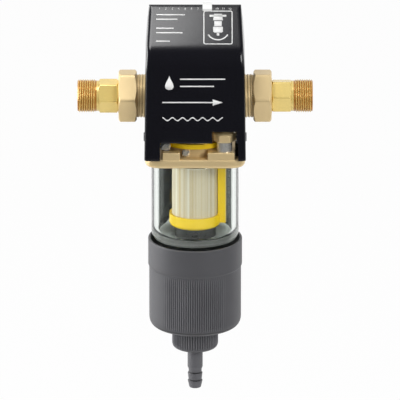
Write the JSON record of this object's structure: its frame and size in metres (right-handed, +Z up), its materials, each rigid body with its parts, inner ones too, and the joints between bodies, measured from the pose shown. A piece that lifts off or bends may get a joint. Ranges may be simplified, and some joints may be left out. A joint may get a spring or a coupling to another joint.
{
  "type": "self cleaning water filter",
  "caption": "Inline water filter with union tails, hooded brass head, clear bowl with mesh and wiper, and a ribbed handwheel that opens the drain to a hose barb.",
  "frame": {"origin": "centre of the inlet tail's end face, on the pipe axis", "axes": "+X along the flow from inlet to outlet, +Z up along the filter's upright axis, the hood's labelled front faces -Y"},
  "size_m": [0.1876, 0.0756, 0.326],
  "materials": {
    "forged_brass": "satin",
    "turned_brass": "turned and polished",
    "black_plastic": "moulded, satin gloss",
    "grey_plastic": "moulded, fine matt",
    "dark_plastic": "moulded",
    "yellow_plastic": "moulded, satin gloss",
    "white_plastic": "moulded",
    "clear_plastic": "clear moulded, polished",
    "steel": "bright plated",
    "mesh_steel": "fine woven wire",
    "seal_rubber": "moulded"
  },
  "bodies": {
    "body": {"head": "forged_brass", "lock_ring": "yellow_plastic", "ring_screw": "steel", "neck_screw": "steel", "filter_head": "forged_brass", "spigot_seal": "seal_rubber", "hood": "black_plastic", "hood_screws": "steel", "inlet_tail": "turned_brass", "outlet_tail": "turned_brass", "inlet_gasket": "seal_rubber", "outlet_gasket": "seal_rubber", "vent_sleeve": "steel", "bowl": "clear_plastic", "bowl_seal": "seal_rubber", "filter_cage": "white_plastic", "filter_mesh": "mesh_steel", "cage_seal": "seal_rubber", "valve_key": "steel"},
    "inlet_nut": {"inlet_nut": "forged_brass"},
    "outlet_nut": {"outlet_nut": "forged_brass"},
    "month_slider": {"month_slider": "white_plastic"},
    "vent_screw": {"vent_screw": "turned_brass"},
    "handwheel": {"handwheel": "grey_plastic", "wheel_clip": "steel", "spindle": "dark_plastic", "spindle_seals": "seal_rubber", "wiper": "yellow_plastic", "wiper_lip": "seal_rubber", "barb_gasket": "seal_rubber"},
    "valve_plug": {"valve_plug": "dark_plastic", "valve_seal": "seal_rubber"},
    "drain_nut": {"drain_nut": "grey_plastic"},
    "hose_barb": {"hose_barb": "grey_plastic"}
  },
  "joints": [
    {"name": "inlet_nut_turn", "type": "hinge", "parent": "body", "child": "inlet_nut", "pos_m": [0.0408, 0, 0], "axis": [1, 0, 0], "continuous": true},
    {"name": "outlet_nut_turn", "type": "hinge", "parent": "body", "child": "outlet_nut", "pos_m": [0.1468, 0, 0], "axis": [1, 0, 0], "continuous": true},
    {"name": "month_slide", "type": "slide", "parent": "body", "child": "month_slider", "axis": [1, 0, 0], "range_m": [-0.038, 0.018]},
    {"name": "vent_turn", "type": "hinge", "parent": "body", "child": "vent_screw", "pos_m": [0.1172, -0.02809, -0.03], "axis": [0, 0, 1], "range_deg": [0, 540]},
    {"name": "handwheel_turn", "type": "hinge", "parent": "body", "child": "handwheel", "pos_m": [0.0938, 0, -0.15], "axis": [0, 0, -1], "range_deg": [0, 1080]},
    {"name": "valve_lift", "type": "slide", "parent": "body", "child": "valve_plug", "axis": [0, 0, 1], "range_m": [0, 0.006]},
    {"name": "drain_nut_turn", "type": "hinge", "parent": "handwheel", "child": "drain_nut", "pos_m": [0.0938, 0, -0.203], "axis": [0, 0, 1], "continuous": true},
    {"name": "barb_swivel", "type": "hinge", "parent": "handwheel", "child": "hose_barb", "pos_m": [0.0938, 0, -0.22], "axis": [0, 0, 1], "continuous": true}
  ],
  "couplings": [
    {"joint": "valve_lift", "follows": "handwheel_turn", "m_per_rad": 0.000318}
  ]
}
